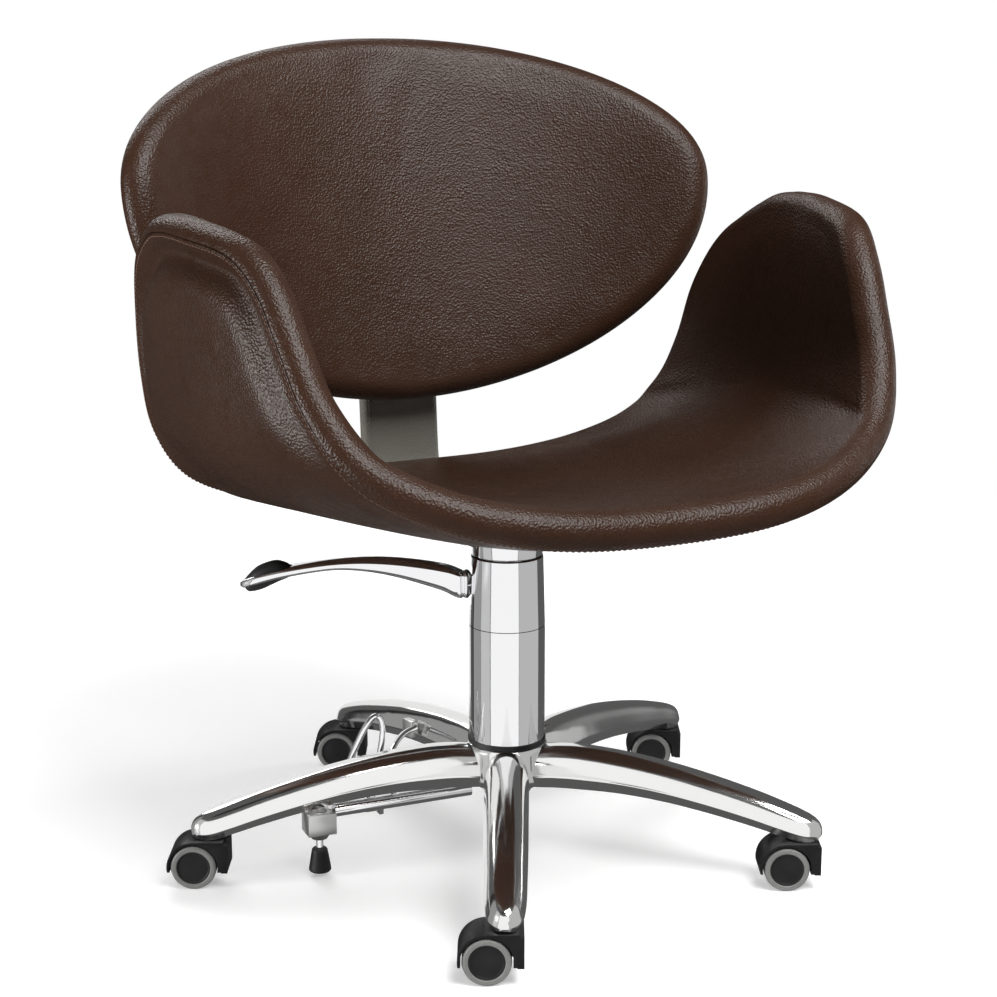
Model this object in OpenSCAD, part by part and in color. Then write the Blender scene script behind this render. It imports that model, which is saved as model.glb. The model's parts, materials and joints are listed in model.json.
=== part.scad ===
// Rolling styling chair with a bucket seat, an oval back, a foot-pumped column and a five-arm base.
// Millimetres. The origin is on the floor under the column, +Z is up and the seat faces -Y.

/* [Base] */
// Distance from the column's axis to each caster stem
base_radius = 341; // [300:1:380]
// Angle of the arm nearest the sitter's right foot
base_turn = -116.5; // [-180:0.5:180]
// Height of the flat under each arm's tip
boss_bottom = 55; // [50:0.5:70]
// Height of the top of the hub
hub_top = 131; // [110:1:150]

/* [Casters] */
// Radius of each wheel with its tyre
wheel_radius = 25; // [20:0.5:40]
// Radius of the hard centre of each wheel
hub_radius = 18.5; // [12:0.5:30]
// Width of each wheel
wheel_width = 15; // [10:0.5:22]
// Distance the wheels trail behind the stem
trail = 18; // [10:0.5:30]
// Direction the casters trail in
trail_angle = 154; // [0:1:360]
// Radius of the stem
stem_radius = 5; // [4:0.5:6]

/* [Column] */
// Radius of the lower cover
cover_radius = 43; // [35:0.5:60]
// Radius of the upper cover at its top
cover_top_radius = 40.8; // [30:0.2:60]
// Height of the seam between the covers
cover_seam = 268; // [200:1:320]
// Height of the top of the upper cover
column_top = 348; // [300:1:420]
// Radius of the piston
piston_radius = 22; // [15:0.5:26]
// Height the seat can rise
lift = 130; // [80:1:180]

/* [Lever] */
// Direction the lever points in
lever_angle = 154; // [0:1:360]
// Distance from the column's axis to the lever's pin
lever_pivot = 36; // [34:0.5:38]
// Height of the lever's pin
lever_height = 313; // [290:1:330]
// Width of the lever
lever_width = 30; // [20:1:40]

/* [Seat] */
// Half the thickness of the seat shell
seat_half = 20; // [12:0.5:26]
// Half the thickness of the stiff core
core_half = 2.5; // [2:0.5:5]

/* [Back] */
// Half the width of the back
back_wide = 366; // [250:1:420]
// Height of the back above its widest level
back_high = 166; // [100:1:250]
// Depth of the back below its widest level
back_low = 273; // [150:1:330]
// Recline of the back
recline = 11.9; // [0:0.1:25]
// Radius the back is curved to, seen from above
back_bend = 568; // [400:1:1200]
// Half the thickness of the back
back_half = 21; // [12:0.5:26]

/* [Brake] */
// Direction of the brake from the column
brake_angle = 175.5; // [0:0.5:360]
// Distance from the column's axis to the brake's foot
brake_reach = 224; // [180:1:280]
// Distance the brake's foot drops when it's pressed
brake_drop = 5; // [2:0.5:10]

/* [Hidden] */
$fn = 64;
wheel_gap = 7.6; // from a caster's middle to the inner face of each wheel
running_gap = 0.05;
slack = 0.2;
back_centre = [0, 318, 751];
bore_radius = piston_radius + running_gap;
cylinder_radius = 28;
lever_out = [cos(lever_angle), sin(lever_angle), 0];

// Three curves run from the middle of the seat to the tip of a wing: its front edge, its middle
// and its rear edge. Each row is one place along them, and the last is the wing's tip.
seat_front = [
    [0, -368, 457], [118, -368, 464], [212, -345, 484], [280, -305, 520], [312, -264, 576],
    [324, -227, 636], [333, -195, 686], [349, -148, 724], [371, -62, 738], [375, -8, 740]
];
seat_middle = [
    [0, -40, 411], [122, -40, 416], [221, -36, 442], [297, -30, 476], [337, -24, 518],
    [354, -18, 578], [361, -14, 645], [366, -12, 705], [373, -9, 736.5], [375, -8, 740]
];
seat_rear = [
    [0, 282, 388], [118, 278, 391], [212, 266, 404], [283, 244, 435], [322, 218, 488],
    [339, 196, 548], [350, 172, 622], [363, 124, 688], [375, 44, 731], [375, -8, 740]
];
seat_stations = [
    0, 0.5, 1, 1.5, 2, 2.4, 2.8, 3.2, 3.6, 4, 4.4, 4.8, 5.2, 5.6, 6, 6.4, 6.75, 7.05, 7.3, 7.5,
    7.68, 7.83, 7.95, 8.3, 8.7
];
core_last = 16; // the core ends at this station, short of the wing's tip
rim_steps = [0, 1.5, 6, 13, 20, 30];
rim_share = [0, 0.02, 0.06, 0.13, 0.2, 0.28];
across = 5; // strips between the two rims

arm_along = [36, 48, 64, 90, 137, 187, 236, 285, 320, 343, 354, 360, 363];
arm_top = [129, 130.4, 132.5, 133.5, 130.5, 124, 114.5, 102.5, 92, 84, 79, 74, 68];
arm_bottom = [84, 85, 86.5, 87.5, 88, 84.5, 77.5, 68, 60, 55, 55, 56.5, 60];
arm_half = [25, 25.5, 25.5, 25, 24.5, 24, 23.5, 22.5, 21.5, 19, 14.5, 9, 3];
arm_shape = [
    [0, 1], [0.34, 0.97], [0.62, 0.87], [0.82, 0.7], [0.94, 0.48], [1, 0.33], [0.97, 0.24],
    [0.86, 0.1], [0.78, 0]
];

lever_along = [50, 58, 70, 87, 120, 154, 188, 221, 255, 280, 294, 299];
lever_top = [330, 333, 336, 339, 343, 344, 342, 338, 331.5, 322, 314, 310];
lever_low = [298, 299, 306, 312, 322, 329, 331.5, 328, 320, 312, 307, 307.5];
lever_wide = [11, 12, 13.5, 15, 15, 15, 15, 16, 18, 17, 11, 4];

// ---- curves and lofted surfaces ----

function spline(p0, p1, p2, p3, t) =
    0.5 * (2 * p1 + (p2 - p0) * t + (2 * p0 - 5 * p1 + 4 * p2 - p3) * t * t
    + (3 * p1 - p0 - 3 * p2 + p3) * t * t * t);
function flip_x(p) = [-p[0], p[1], p[2]];
function along(rows, u) =
    let (
        i = min(floor(u), len(rows) - 2),
        before = i == 0 ? flip_x(rows[1]) : rows[i - 1],
        after = i + 2 < len(rows) ? rows[i + 2] : 2 * rows[i + 1] - rows[i]
    )
    spline(before, rows[i], rows[i + 1], after, u - i);
function unit(v) = v / norm(v);
function segment_distance(p, a, b) =
    let (ab = b - a, t = max(0, min(1, (p - a) * ab / (ab * ab))))
    norm(p - a - t * ab);
// The rim's height above the middle surface, a given distance in from the edge
function round_over(d, half) = d >= half ? half : sqrt(max(0, half * half - (half - d) * (half - d)));
function ramp(x, low, high) =
    let (t = max(0, min(1, (x - low) / (high - low))))
    t * t * (3 - 2 * t);

module solid(rings, first, last) {
    count = len(rings[0]);
    rows = len(rings);
    points = concat([for (ring = rings) each ring], [first, last]);
    sides = [
        for (i = [0 : rows - 2], j = [0 : count - 1])
            let (k = (j + 1) % count, a = i * count, b = a + count)
            each [[a + j, a + k, b + k], [a + j, b + k, b + j]]
    ];
    top = (rows - 1) * count;
    ends = [
        for (j = [0 : count - 1])
            let (k = (j + 1) % count)
            each [[k, j, rows * count], [top + j, top + k, rows * count + 1]]
    ];
    polyhedron(points = points, faces = concat(sides, ends), convexity = 10);
}

function average(ring) = [for (p = ring) 1] * ring / len(ring);

// A round rod swept along a smooth path
module swept_rod(path, r, sides = 12) {
    n = len(path) - 1;
    way = [for (i = [0 : n]) unit(path[min(n, i + 1)] - path[max(0, i - 1)])];
    first = unit(cross(way[0], [0.2, 1, 0]));
    rings = [
        for (i = [0 : n])
            let (
                a = unit(first - way[i] * (first * way[i])),
                b = cross(way[i], a)
            )
            [for (k = [0 : sides - 1])
                let (t = -360 * k / sides)
                path[i] + r * cos(t) * a + r * sin(t) * b]
    ];
    solid(rings, path[0] - way[0] * 0.5, path[n] + way[n] * 0.5);
}
// A flat oval pad: each layer is [height, share of its full size]
module oval_pad(long, wide, layers, sides = 32) {
    rings = [
        for (layer = layers)
            [for (k = [0 : sides - 1])
                let (t = -360 * k / sides)
                [long * layer[1] * cos(t), wide * layer[1] * sin(t), layer[0]]]
    ];
    last = layers[len(layers) - 1];
    solid(rings, [0, 0, layers[0][0] - 0.5], [0, 0, last[0] + 0.5]);
}

// ---- seat shell ----

function seat_point(u, v) =
    let (
        f = along(seat_front, u),
        m = along(seat_middle, u),
        r = along(seat_rear, u),
        c = 2 * m - (f + r) / 2
    )
    (1 - v) * (1 - v) * f + 2 * v * (1 - v) * c + v * v * r;
function seat_normal(u, v) =
    let (
        a = max(0, u - 0.04),
        b = min(8.75, u + 0.04),
        e = max(0, v - 0.03),
        g = min(1, v + 0.03)
    )
    unit(cross(seat_point(b, v) - seat_point(a, v), seat_point(u, g) - seat_point(u, e)));
seat_edge = concat(
    [for (u = [0 : 0.25 : 9]) along(seat_front, u)],
    [for (u = [8.75 : -0.25 : 0]) along(seat_rear, u)]
);
function seat_depth(p) =
    min([for (i = [0 : len(seat_edge) - 2]) segment_distance(p, seat_edge[i], seat_edge[i + 1])]);
function seat_shares(u) =
    let (
        length = norm(along(seat_front, u) - along(seat_rear, u)),
        rim = [for (i = [0 : 5]) min(rim_steps[i] / length, rim_share[i])]
    )
    concat(
        rim,
        [for (i = [1 : across]) rim[5] + (1 - 2 * rim[5]) * i / (across + 1)],
        [for (i = [5 : -1 : 0]) 1 - rim[i]]
    );
// Each entry is [point, normal, distance in from the edge]
seat_grid = [
    for (u = seat_stations) [
        for (v = seat_shares(u))
            let (p = seat_point(u, v))
            [p, seat_normal(u, v), seat_depth(p)]
    ]
];
function pocket(d) = slack + (core_half + 2.8) * ramp(d, 12, 24);
function core_reach(d) = max(slack / 2, min(core_half, pocket(d) - 1.5));
function upper(s, kind) =
    kind == "pad" ? max(slack, round_over(s[2], seat_half))
    : kind == "panel" ? -min(pocket(s[2]), max(slack, round_over(s[2], seat_half) - 1))
    : core_reach(s[2]);
function lower(s, kind) =
    kind == "pad" ? min(pocket(s[2]), max(slack, round_over(s[2], seat_half) - 1))
    : kind == "panel" ? -max(slack, round_over(s[2], seat_half))
    : -core_reach(s[2]);
function seat_ring(row, kind) =
    let (n = len(row) - 1)
    concat(
        [for (j = [0 : n]) row[j][0] + row[j][1] * upper(row[j], kind)],
        [for (j = [n : -1 : 0]) row[j][0] + row[j][1] * (lower(row[j], kind) - (kind == "pad"
            && (j == 0 || j == n) ? slack / 2 : 0))]
    );
function part_row(row, kind) = kind == "core" ? [for (j = [5 : len(row) - 6]) row[j]] : row;
module seat_layer(kind) {
    last = kind == "core" ? core_last : len(seat_grid) - 1;
    half = [for (i = [0 : last]) seat_ring(part_row(seat_grid[i], kind), kind)];
    rings = concat(
        [for (i = [last : -1 : 1]) [for (p = half[i]) flip_x(p)]],
        half
    );
    tip = kind == "core" ? average(half[last])
        : seat_middle[9] + [kind == "pad" ? -1.5 * slack : 1.5 * slack, 0, 0];
    solid(rings, flip_x(tip), tip);
}

module seat_pad() {
    color([0.24, 0.16, 0.13]) seat_layer("pad");
}

module seat_outer_panel() {
    color([0.22, 0.15, 0.12]) seat_layer("panel");
}

module seat_core() {
    color([0.6, 0.47, 0.3]) seat_layer("core");
}

// ---- back ----

function power(x, n) = sign(x) * pow(abs(x), n);
// The back's outline, seen square on: across, then up
function back_edge(t) = [
    back_wide * power(sin(t), 2 / (cos(t) > 0 ? 2.13 : 2)),
    (cos(t) > 0 ? back_high : back_low) * power(cos(t), 2 / (cos(t) > 0 ? 2.13 : 2))
];
function back_point(a, b) = [
    a,
    back_centre[1] - back_bend + sqrt(back_bend * back_bend - a * a) + b * sin(recline),
    back_centre[2] + b * cos(recline)
];
function back_normal(a) =
    unit([-a / sqrt(back_bend * back_bend - a * a) * cos(recline), -cos(recline), sin(recline)]);
back_steps = [0, 1.5, 6, 13, 21, 30];
back_fractions = [0.82, 0.6, 0.38, 0.18];
back_turns = 56;
// Rings from the rim to the middle; each entry is [point, normal, distance in from the edge]
back_grid = [
    for (i = [0 : 9]) [
        for (k = [0 : back_turns - 1])
            let (
                e = back_edge(360 * k / back_turns),
                far = norm(e),
                reach = i < 6 ? far - back_steps[i] : back_fractions[i - 6] * (far - 30)
            )
            [back_point(e[0] * reach / far, e[1] * reach / far), back_normal(e[0] * reach / far),
                far - reach]
    ]
];
function back_front(d, kind) =
    kind == "pad" ? max(slack, round_over(d, back_half))
    : kind == "panel" ? -min(pocket(d), max(slack, round_over(d, back_half) - 1))
    : core_half;
function back_rear(d, kind) =
    kind == "pad" ? min(pocket(d), max(slack, round_over(d, back_half) - 1))
    : kind == "panel" ? -max(slack, round_over(d, back_half))
    : -core_half;
module back_layer(kind) {
    first = kind == "core" ? 5 : 0;
    front = [
        for (i = [9 : -1 : first]) [for (s = back_grid[i]) s[0] + s[1] * back_front(s[2], kind)]
    ];
    rear = [
        for (i = [first : 9]) [
            for (s = back_grid[i])
                s[0] + s[1] * (back_rear(s[2], kind) - (kind == "pad" && i == 0 ? slack / 2 : 0)
                    - (kind == "panel" && i == 0 ? slack / 2 : 0))
        ]
    ];
    middle = back_point(0, 0);
    solid(
        concat(front, rear),
        middle + back_normal(0) * back_front(90, kind),
        middle + back_normal(0) * back_rear(90, kind)
    );
}

module back_pad() {
    color([0.24, 0.16, 0.13]) back_layer("pad");
}

module back_panel() {
    color([0.22, 0.15, 0.12]) back_layer("panel");
}

module back_board() {
    color([0.6, 0.47, 0.3]) back_layer("core");
}

// ---- base ----

module at_arms() {
    for (i = [0 : 4])
        rotate(base_turn + 72 * i) children();
}

module arm() {
    side = [for (p = arm_shape) p];
    rings = [
        for (i = [0 : len(arm_along) - 1])
            let (low = arm_bottom[i], tall = arm_top[i] - arm_bottom[i], half = arm_half[i])
            concat(
                [for (p = side) [arm_along[i], p[0] * half, low + p[1] * tall]],
                [for (k = [len(side) - 1 : -1 : 1])
                    [arm_along[i], -side[k][0] * half, low + side[k][1] * tall]]
            )
    ];
    solid(rings, average(rings[0]) - [2, 0, 0], average(rings[len(rings) - 1]) + [1, 0, 0]);
}

module star_base() {
    color([0.82, 0.82, 0.83])
    difference() {
        union() {
            rotate_extrude()
                polygon([
                    [10, 82], [40, 82], [45, 88], [46.5, 96], [46.5, 124], [44, hub_top - 1],
                    [42, hub_top], [10, hub_top]
                ]);
            at_arms() arm();
            at_arms() translate([base_radius - 3, 0, boss_bottom - 0.2]) cylinder(r = 16.4, h = 12);
        }
        translate([0, 0, 60]) cylinder(r = cylinder_radius, h = 100);
        at_arms() translate([base_radius, 0, 50]) cylinder(r = stem_radius, h = 26);
    }
}

module base_collar() {
    color([0.08, 0.08, 0.08])
    translate([0, 0, hub_top])
    difference() {
        cylinder(r = cover_radius + 1.2, h = 5);
        translate([0, 0, -1]) cylinder(r = cylinder_radius, h = 7);
    }
}

// ---- column ----

module lower_cover() {
    color([0.85, 0.85, 0.87])
    translate([0, 0, hub_top + 5])
    difference() {
        cylinder(r = cover_radius, h = cover_seam - hub_top - 5.4);
        translate([0, 0, -1]) cylinder(r = cover_radius - 1.8, h = cover_seam);
    }
}

module lever_window(wide) {
    rotate(lever_angle)
        translate([lever_pivot - 10, -wide / 2, lever_height - 26]) cube([60, wide, 50]);
}

module upper_cover() {
    low = cover_seam + 0.4;
    color([0.85, 0.85, 0.87])
    difference() {
        rotate_extrude()
            polygon([
                [cover_radius - 2, low], [cover_radius - 0.1, low], [cover_top_radius, column_top - 1],
                [cover_top_radius - 1, column_top], [cylinder_radius + 0.3, column_top],
                [cylinder_radius + 0.3, column_top - 2], [cover_top_radius - 2, column_top - 2]
            ]);
        lever_window(27);
    }
}

module pump_cylinder() {
    color([0.45, 0.45, 0.47])
    difference() {
        translate([0, 0, 72]) cylinder(r = cylinder_radius, h = column_top - 72);
        translate([0, 0, 80]) cylinder(r = bore_radius, h = column_top);
    }
}

module pump_piston() {
    color([0.8, 0.8, 0.82]) {
        translate([0, 0, 96]) cylinder(r = piston_radius, h = column_top + 4 - 96);
        translate([0, 0, column_top + 3.5]) cylinder(r = 14, h = 12);
    }
}

module pump_head() {
    color([0.3, 0.3, 0.32])
    difference() {
        translate([0, 0, 296]) cylinder(r = 38.4, h = 34);
        translate([0, 0, 290]) cylinder(r = cylinder_radius, h = 50);
        lever_window(16.4);
        rotate(lever_angle) translate([lever_pivot, 0, lever_height])
            rotate([90, 0, 0]) cylinder(r = 3, h = 60, center = true, $fn = 48);
    }
}

module lever_pin() {
    color([0.7, 0.7, 0.72])
    rotate(lever_angle) translate([lever_pivot, 0, lever_height])
        rotate([90, 0, 0]) cylinder(r = 3, h = 25, center = true, $fn = 48);
}

// ---- lever ----

module lever_blade() {
    rings = [
        for (i = [0 : len(lever_along) - 1])
            let (
                top = lever_top[i],
                low = lever_low[i],
                half = lever_wide[i],
                rim = min(4, (top - low) / 2.2)
            )
            [
                [lever_along[i], -half + 2, top], [lever_along[i], half - 2, top],
                [lever_along[i], half, top - rim / 2], [lever_along[i], half - 1, low + rim / 2],
                [lever_along[i], half * 0.7, low], [lever_along[i], -half * 0.7, low],
                [lever_along[i], -half + 1, low + rim / 2], [lever_along[i], -half, top - rim / 2]
            ]
    ];
    solid(rings, average(rings[0]) - [1, 0, 0], average(rings[len(rings) - 1]) + [1, 0, 0]);
}

module pump_lever() {
    color([0.86, 0.86, 0.88])
    rotate(lever_angle)
    difference() {
        union() {
            lever_blade();
            translate([0, 8, 0]) rotate([90, 0, 0])
                linear_extrude(16)
                    polygon([
                        [lever_pivot, 306], [52, 300], [56, 301], [56, 328], [52, 327],
                        [lever_pivot, 320]
                    ]);
            translate([lever_pivot, 8, lever_height]) rotate([90, 0, 0]) cylinder(r = 7, h = 16);
        }
        translate([lever_pivot, 0, lever_height]) rotate([90, 0, 0])
            cylinder(r = 3 + running_gap, h = 60, center = true, $fn = 48);
        translate([272, 0, 322]) rotate([0, 27, 0]) scale([1.5, 1, 1]) cylinder(r = 11, h = 40, center = true);
    }
}

module lever_grip() {
    color([0.05, 0.05, 0.05])
    rotate(lever_angle) translate([272, 0, 321.5]) rotate([0, 27, 0])
        oval_pad(28, 14, [
            [-13, 0.3], [-12.5, 0.42], [-10, 0.53], [8, 0.53], [8.2, 0.95], [9.5, 1], [11, 0.96],
            [13, 0.8], [14.5, 0.55], [15.2, 0.25]
        ]);
}

// ---- seat plate and bracket ----

plate_low = column_top + 11.3;
// Ring under the plate that hides the gap above the column
skirt_radius = cover_top_radius - 1.8;
// Each bolt's place, and the height of its boss above the plate's lower face
bolt_places = [[-32, 40, 22], [32, 40, 22], [-32, 82, 19], [32, 82, 19]];
module seat_plate() {
    color([0.2, 0.2, 0.2])
    difference() {
        union() {
            translate([0, 0, plate_low]) hull() {
                cylinder(r = skirt_radius, h = 5);
                translate([-45, 30, 0]) cube([90, 65, 5]);
            }
            difference() {
                translate([0, 0, column_top + 1.2]) cylinder(r = skirt_radius, h = 10.2);
                translate([0, 0, column_top]) cylinder(r = 33, h = plate_low - column_top);
            }
            translate([0, 0, column_top + 4.3]) cylinder(r = 30, h = 31);
            for (b = bolt_places)
                translate([b[0], b[1], plate_low]) cylinder(r = 9, h = b[2]);
        }
        translate([0, 0, column_top]) cylinder(r = 14 + running_gap, h = 18);
        for (b = bolt_places)
            translate([b[0], b[1], column_top]) cylinder(r = 4, h = 50, $fn = 32);
    }
}

module seat_bolts() {
    color([0.6, 0.6, 0.62])
    for (b = bolt_places)
        translate([b[0], b[1], plate_low]) {
            translate([0, 0, -5.3]) cylinder(r = 7, h = 5.3, $fn = 6);
            translate([0, 0, -3.3]) cylinder(r = 4, h = 46, $fn = 32);
        }
}

bar_path = [
    [60, 358.3], [236, 358.3], [262, 361], [281, 370], [293, 386], [299.5, 410], [304.5, 470],
    [308.5, 520], [335, 646]
];
function bar_side(path, half) =
    let (
        n = len(path) - 1,
        way = [for (i = [0 : n]) unit(path[min(n, i + 1)] - path[max(0, i - 1)])]
    )
    concat(
        [for (i = [0 : n]) path[i] + half * [way[i][1], -way[i][0]]],
        [for (i = [n : -1 : 0]) path[i] - half * [way[i][1], -way[i][0]]]
    );
module bar(path, half, wide) {
    rotate([90, 0, 90])
        translate([0, 0, -wide / 2]) linear_extrude(wide) polygon(bar_side(path, half));
}

module at_back_screws() {
    for (x = [-22, 22], s = [0.35, 0.8])
        let (p = (1 - s) * bar_path[7] + s * bar_path[8])
        translate([x, p[0], p[1]]) rotate([90 - 11.9, 0, 0]) children();
}

module back_bracket() {
    color([0.25, 0.25, 0.26])
    difference() {
        union() {
            bar(bar_path, 4, 84);
            for (x = [-24, 24])
                translate([x, 120, 358.3]) cylinder(r = 9, h = 17.2);
        }
        translate([-90, 0, 300]) cube([180, 96, 100]);
        at_back_screws() cylinder(r = 3, h = 40, center = true, $fn = 32);
        for (x = [-24, 24])
            translate([x, 120, 340]) cylinder(r = 3.5, h = 60, $fn = 32);
    }
}

module bracket_sleeve() {
    path = [for (i = [4 : 7]) bar_path[i]];
    color([0.33, 0.32, 0.29])
    difference() {
        bar(path, 8, 102);
        bar(bar_path, 4, 84);
    }
}

module bracket_screws() {
    color([0.6, 0.6, 0.62]) {
        at_back_screws() {
            translate([0, 0, -7]) cylinder(r = 6, h = 3);
            translate([0, 0, -7]) cylinder(r = 3, h = 30, $fn = 32);
        }
        for (x = [-24, 24])
            translate([x, 120, 0]) {
                translate([0, 0, 350.3]) cylinder(r = 6.5, h = 4, $fn = 6);
                translate([0, 0, 351]) cylinder(r = 3.5, h = 47, $fn = 32);
            }
    }
}

// ---- brake ----

// Points here are [distance from the column, distance to one side, height], along the brake's bar
hinge_side = -16;
hinge_height = 66;
hinge_from = 148;
hinge_to = 212;
module at_hinge(from, to, r, sides = 48) {
    translate([from, hinge_side, hinge_height]) rotate([0, 90, 0])
        cylinder(r = r, h = to - from, $fn = sides);
}
function smooth_path(p, t) =
    let (i = min(floor(t), len(p) - 2))
    spline(
        i == 0 ? 2 * p[0] - p[1] : p[i - 1],
        p[i],
        p[i + 1],
        i + 2 < len(p) ? p[i + 2] : 2 * p[i + 1] - p[i],
        t - i
    );

stay_corners = [
    [126, -3, 75], [126, -22, 71], [125, -40, 73], [122, -55, 92], [112, -76, 108], [90, -106, 113],
    [66, -129, 112]
];
module brake_bar() {
    color([0.85, 0.85, 0.87])
    rotate(brake_angle)
    difference() {
        union() {
            translate([45, 0, 77]) rotate([0, 91.2, 0]) cylinder(r = 7.5, h = 162);
            swept_rod([for (t = [0 : 0.25 : 6]) smooth_path(stay_corners, t)], 3.5);
            for (lug = [[hinge_from, 5], [203, 8.8]])
                translate([lug[0], hinge_side - 6, hinge_height - 6]) cube([lug[1], 20, 15]);
        }
        at_hinge(hinge_from - 2, hinge_to + 2, 3);
    }
}

module brake_lug() {
    color([0.6, 0.6, 0.62])
    rotate(base_turn + 72 * 3)
    difference() {
        translate([144, 0, 98]) cube([20, 36, 20]);
        translate([140, 0, 80]) cube([40, 27, 60]);
    }
}

module brake_housing() {
    color([0.75, 0.75, 0.76])
    rotate(brake_angle) translate([brake_reach, 0, 0])
    difference() {
        union() {
            translate([-16, -14, 51]) cube([32, 28, 24]);
            translate([0, 0, 44]) cylinder(r1 = 9, r2 = 13.5, h = 7.1);
        }
        translate([0, 0, 40]) cylinder(r = 4 + running_gap, h = 50, $fn = 48);
        translate([0, 0, 52]) cylinder(r = 9, h = 30);
        at_hinge(hinge_from - brake_reach, hinge_to + 2 - brake_reach, 3);
        translate([-18, -30, 58]) cube([6.5, 30.5, 18]);
    }
}

module brake_plunger() {
    color([0.8, 0.8, 0.82])
    rotate(brake_angle) translate([brake_reach, 0, 0]) {
        translate([0, 0, 14]) cylinder(r = 4, h = 58, $fn = 48);
        translate([0, 0, 66.5]) cylinder(r = 8.2, h = 3);
    }
}

module brake_spring() {
    color([0.5, 0.5, 0.52])
    rotate(brake_angle) translate([brake_reach, 0, 0])
    for (i = [0 : 3])
        translate([0, 0, 53 + 2.1 * i])
            rotate_extrude() translate([6.6, 0]) circle(0.9, $fn = 20);
}

module brake_foot() {
    color([0.06, 0.06, 0.06])
    rotate(brake_angle) translate([brake_reach, 0, brake_drop + 0.5])
    difference() {
        rotate_extrude()
            polygon([[0, 0], [11.5, 0], [12.5, 1.5], [12.3, 4], [8.8, 25], [7.6, 26.5], [0, 26.5]]);
        translate([0, 0, 14 - brake_drop - 0.5]) cylinder(r = 4, h = 30, $fn = 48);
    }
}

pedal_corners = [
    [197, -24, 66], [194, -38, 66], [186, -45, 78], [171, -50, 112], [152, -56, 144],
    [138, -58, 157], [131, -54, 145], [138, -47, 112], [150, -44, 78], [157, -38, 66],
    [160, -24, 66]
];
module brake_pedal() {
    color([0.85, 0.85, 0.87])
    rotate(brake_angle)
    difference() {
        union() {
            swept_rod([for (t = [0 : 0.25 : 10]) smooth_path(pedal_corners, t)], 3.6);
            at_hinge(191, 202, 6.2);
            at_hinge(154, 165, 6.2);
            for (x = [191, 154])
                translate([x, hinge_side - 11, hinge_height - 4]) cube([11, 8, 8]);
        }
        at_hinge(hinge_from, hinge_to, 3 + running_gap);
    }
}

module brake_pin() {
    color([0.7, 0.7, 0.72])
    rotate(brake_angle) at_hinge(hinge_from, hinge_to, 3);
}

// ---- casters ----

module at_caster(i) {
    turn = base_turn + 72 * (i - 1);
    translate([base_radius * cos(turn), base_radius * sin(turn), 0]) rotate(trail_angle) children();
}

module caster_stems() {
    color([0.6, 0.6, 0.62])
    for (i = [1 : 5])
        at_caster(i) translate([0, 0, 32]) cylinder(r = stem_radius, h = 44);
}

module hood_profile() {
    difference() {
        union() {
            intersection() {
                translate([trail, wheel_radius]) circle(29.4);
                translate([trail, wheel_radius - 6]) square([40, 40]);
            }
            translate([-19, wheel_radius - 6]) square([trail + 19, 32]);
            translate([-15, wheel_radius]) square([trail + 15, 29.4]);
        }
        translate([trail, wheel_radius]) circle(26.6);
        translate([trail - 30, 0]) square([90, wheel_radius - 5]);
    }
}

module hood(i) {
    color([0.05, 0.05, 0.05])
    at_caster(i)
    difference() {
        union() {
            rotate([90, 0, 0]) translate([0, 0, -22.5]) linear_extrude(45) hood_profile();
            rotate([90, 0, 0]) translate([0, 0, -7]) linear_extrude(14)
                union() {
                    hood_profile();
                    translate([trail, wheel_radius]) circle(20);
                    translate([-12, wheel_radius]) square([trail + 12, 29.4]);
                }
            translate([0, 0, 48]) cylinder(r = 12, h = 6.4);
        }
        translate([0, 0, 31.5]) cylinder(r = stem_radius + running_gap, h = 40);
        translate([trail, 0, wheel_radius]) rotate([90, 0, 0])
            cylinder(r = 3, h = 60, center = true, $fn = 48);
    }
}

module axle(i) {
    color([0.7, 0.7, 0.72])
    at_caster(i) translate([trail, 0, wheel_radius]) rotate([90, 0, 0])
        cylinder(r = 3, h = 2 * (wheel_gap + wheel_width) - 6, center = true, $fn = 48);
}

module at_wheel(i, side) {
    at_caster(i) translate([trail, side * wheel_gap, wheel_radius]) rotate([-90 * side, 0, 0])
        children();
}

module wheel(i, side) {
    color([0.07, 0.07, 0.07])
    at_wheel(i, side)
    difference() {
        rotate_extrude()
            polygon([
                [0, 0], [hub_radius, 0], [hub_radius, wheel_width - 1], [hub_radius - 1.5, wheel_width - 1],
                [hub_radius - 2.5, wheel_width - 1.6], [4, wheel_width - 0.6], [0, wheel_width - 0.5]
            ]);
        translate([0, 0, -1]) cylinder(r = 3 + running_gap, h = wheel_width - 1.8, $fn = 48);
    }
}

module tyre(i, side) {
    color([0.55, 0.55, 0.55])
    at_wheel(i, side)
    rotate_extrude()
        polygon([
            [hub_radius, 0.4], [wheel_radius - 2, 0.4], [wheel_radius - 0.4, 1.4], [wheel_radius, 3],
            [wheel_radius, wheel_width - 3.5], [wheel_radius - 0.6, wheel_width - 1.4],
            [wheel_radius - 2.4, wheel_width], [hub_radius + 1, wheel_width], [hub_radius, wheel_width - 0.8]
        ]);
}

star_base();
base_collar();
lower_cover();
upper_cover();
pump_cylinder();
pump_piston();
pump_head();
pump_lever();
lever_grip();
lever_pin();
seat_plate();
seat_bolts();
seat_core();
seat_pad();
seat_outer_panel();
back_board();
back_pad();
back_panel();
back_bracket();
bracket_sleeve();
bracket_screws();
brake_bar();
brake_lug();
brake_housing();
brake_plunger();
brake_foot();
brake_pedal();
brake_spring();
brake_pin();
caster_stems();
hood(1);  // hood_1
hood(2);  // hood_2
hood(3);  // hood_3
hood(4);  // hood_4
hood(5);  // hood_5
axle(1);  // axle_1
axle(2);  // axle_2
axle(3);  // axle_3
axle(4);  // axle_4
axle(5);  // axle_5
wheel(1, 1);  // wheel_1a
wheel(1, -1);  // wheel_1b
wheel(2, 1);  // wheel_2a
wheel(2, -1);  // wheel_2b
wheel(3, 1);  // wheel_3a
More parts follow.
